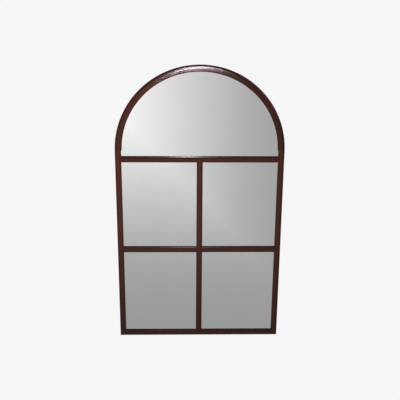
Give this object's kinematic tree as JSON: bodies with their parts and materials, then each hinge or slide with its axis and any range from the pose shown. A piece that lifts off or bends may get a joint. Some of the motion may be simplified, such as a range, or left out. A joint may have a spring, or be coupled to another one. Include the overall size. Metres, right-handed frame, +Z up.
{
  "type": "arched garden mirror",
  "caption": "Arched window-style garden mirror: mirror panes behind a brown crowned-bar frame with transom and muntins, boards held by turn buttons, hung on keyhole hangers.",
  "frame": {"origin": "on the wall's face, midway between the entry holes of the two keyhole hangers", "axes": "+X to the viewer's right, +Y into the wall, +Z up; the mirror faces -Y"},
  "size_m": [0.7, 0.023, 1.1999],
  "materials": {
    "frame_bars": "gloss",
    "mirror_glass": "polished",
    "glazing_tape": "matte",
    "backing_board": "matte",
    "plated_steel": "satin",
    "dowel_steel": "satin",
    "bumper_rubber": "matte"
  },
  "bodies": {
    "frame": {"arch_hoop": "frame_bars", "left_leg": "frame_bars", "right_leg": "frame_bars", "bottom_rail": "frame_bars", "transom": "frame_bars", "mid_rail": "frame_bars", "upper_muntin": "frame_bars", "lower_muntin": "frame_bars", "arch_mirror": "mirror_glass", "upper_left_mirror": "mirror_glass", "upper_right_mirror": "mirror_glass", "lower_left_mirror": "mirror_glass", "lower_right_mirror": "mirror_glass", "arch_tape": "glazing_tape", "upper_left_tape": "glazing_tape", "upper_right_tape": "glazing_tape", "lower_left_tape": "glazing_tape", "lower_right_tape": "glazing_tape", "arch_board": "backing_board", "upper_left_board": "backing_board", "upper_right_board": "backing_board", "lower_left_board": "backing_board", "lower_right_board": "backing_board", "left_hanger": "plated_steel", "right_hanger": "plated_steel", "button_screws": "plated_steel", "hanger_screws": "plated_steel", "left_bumper": "bumper_rubber", "right_bumper": "bumper_rubber", "frame_dowels": "dowel_steel"},
    "crown_button": {"crown_button": "plated_steel"},
    "left_haunch_button": {"left_haunch_button": "plated_steel"},
    "right_haunch_button": {"right_haunch_button": "plated_steel"},
    "upper_left_leg_button": {"upper_left_leg_button": "plated_steel"},
    "upper_right_leg_button": {"upper_right_leg_button": "plated_steel"},
    "lower_left_leg_button": {"lower_left_leg_button": "plated_steel"},
    "lower_right_leg_button": {"lower_right_leg_button": "plated_steel"},
    "bottom_left_button": {"bottom_left_button": "plated_steel"},
    "bottom_right_button": {"bottom_right_button": "plated_steel"},
    "transom_left_button": {"transom_left_button": "plated_steel"},
    "transom_right_button": {"transom_right_button": "plated_steel"},
    "mid_rail_left_button": {"mid_rail_left_button": "plated_steel"},
    "mid_rail_right_button": {"mid_rail_right_button": "plated_steel"},
    "upper_muntin_button": {"upper_muntin_button": "plated_steel"},
    "lower_muntin_button": {"lower_muntin_button": "plated_steel"}
  },
  "joints": [
    {"name": "crown_button_swivel", "type": "hinge", "parent": "frame", "child": "crown_button", "pos_m": [0, -0.006, 0.4575], "axis": [0, 1, 0], "continuous": true},
    {"name": "left_haunch_button_swivel", "type": "hinge", "parent": "frame", "child": "left_haunch_button", "pos_m": [-0.25854, -0.006, 0.33694], "axis": [0, 1, 0], "continuous": true},
    {"name": "right_haunch_button_swivel", "type": "hinge", "parent": "frame", "child": "right_haunch_button", "pos_m": [0.25854, -0.006, 0.33694], "axis": [0, 1, 0], "continuous": true},
    {"name": "upper_left_leg_button_swivel", "type": "hinge", "parent": "frame", "child": "upper_left_leg_button", "pos_m": [-0.3375, -0.006, -0.1175], "axis": [0, 1, 0], "continuous": true},
    {"name": "upper_right_leg_button_swivel", "type": "hinge", "parent": "frame", "child": "upper_right_leg_button", "pos_m": [0.3375, -0.006, -0.1175], "axis": [0, 1, 0], "continuous": true},
    {"name": "lower_left_leg_button_swivel", "type": "hinge", "parent": "frame", "child": "lower_left_leg_button", "pos_m": [-0.3375, -0.006, -0.5175], "axis": [0, 1, 0], "continuous": true},
    {"name": "lower_right_leg_button_swivel", "type": "hinge", "parent": "frame", "child": "lower_right_leg_button", "pos_m": [0.3375, -0.006, -0.5175], "axis": [0, 1, 0], "continuous": true},
    {"name": "bottom_left_button_swivel", "type": "hinge", "parent": "frame", "child": "bottom_left_button", "pos_m": [-0.16875, -0.006, -0.7175], "axis": [0, 1, 0], "continuous": true},
    {"name": "bottom_right_button_swivel", "type": "hinge", "parent": "frame", "child": "bottom_right_button", "pos_m": [0.16875, -0.006, -0.7175], "axis": [0, 1, 0], "continuous": true},
    {"name": "transom_left_button_swivel", "type": "hinge", "parent": "frame", "child": "transom_left_button", "pos_m": [-0.16875, -0.006, 0.0825], "axis": [0, 1, 0], "continuous": true},
    {"name": "transom_right_button_swivel", "type": "hinge", "parent": "frame", "child": "transom_right_button", "pos_m": [0.16875, -0.006, 0.0825], "axis": [0, 1, 0], "continuous": true},
    {"name": "mid_rail_left_button_swivel", "type": "hinge", "parent": "frame", "child": "mid_rail_left_button", "pos_m": [-0.16875, -0.006, -0.3175], "axis": [0, 1, 0], "continuous": true},
    {"name": "mid_rail_right_button_swivel", "type": "hinge", "parent": "frame", "child": "mid_rail_right_button", "pos_m": [0.16875, -0.006, -0.3175], "axis": [0, 1, 0], "continuous": true},
    {"name": "upper_muntin_button_swivel", "type": "hinge", "parent": "frame", "child": "upper_muntin_button", "pos_m": [0, -0.006, -0.1175], "axis": [0, 1, 0], "continuous": true},
    {"name": "lower_muntin_button_swivel", "type": "hinge", "parent": "frame", "child": "lower_muntin_button", "pos_m": [0, -0.006, -0.5175], "axis": [0, 1, 0], "continuous": true}
  ]
}
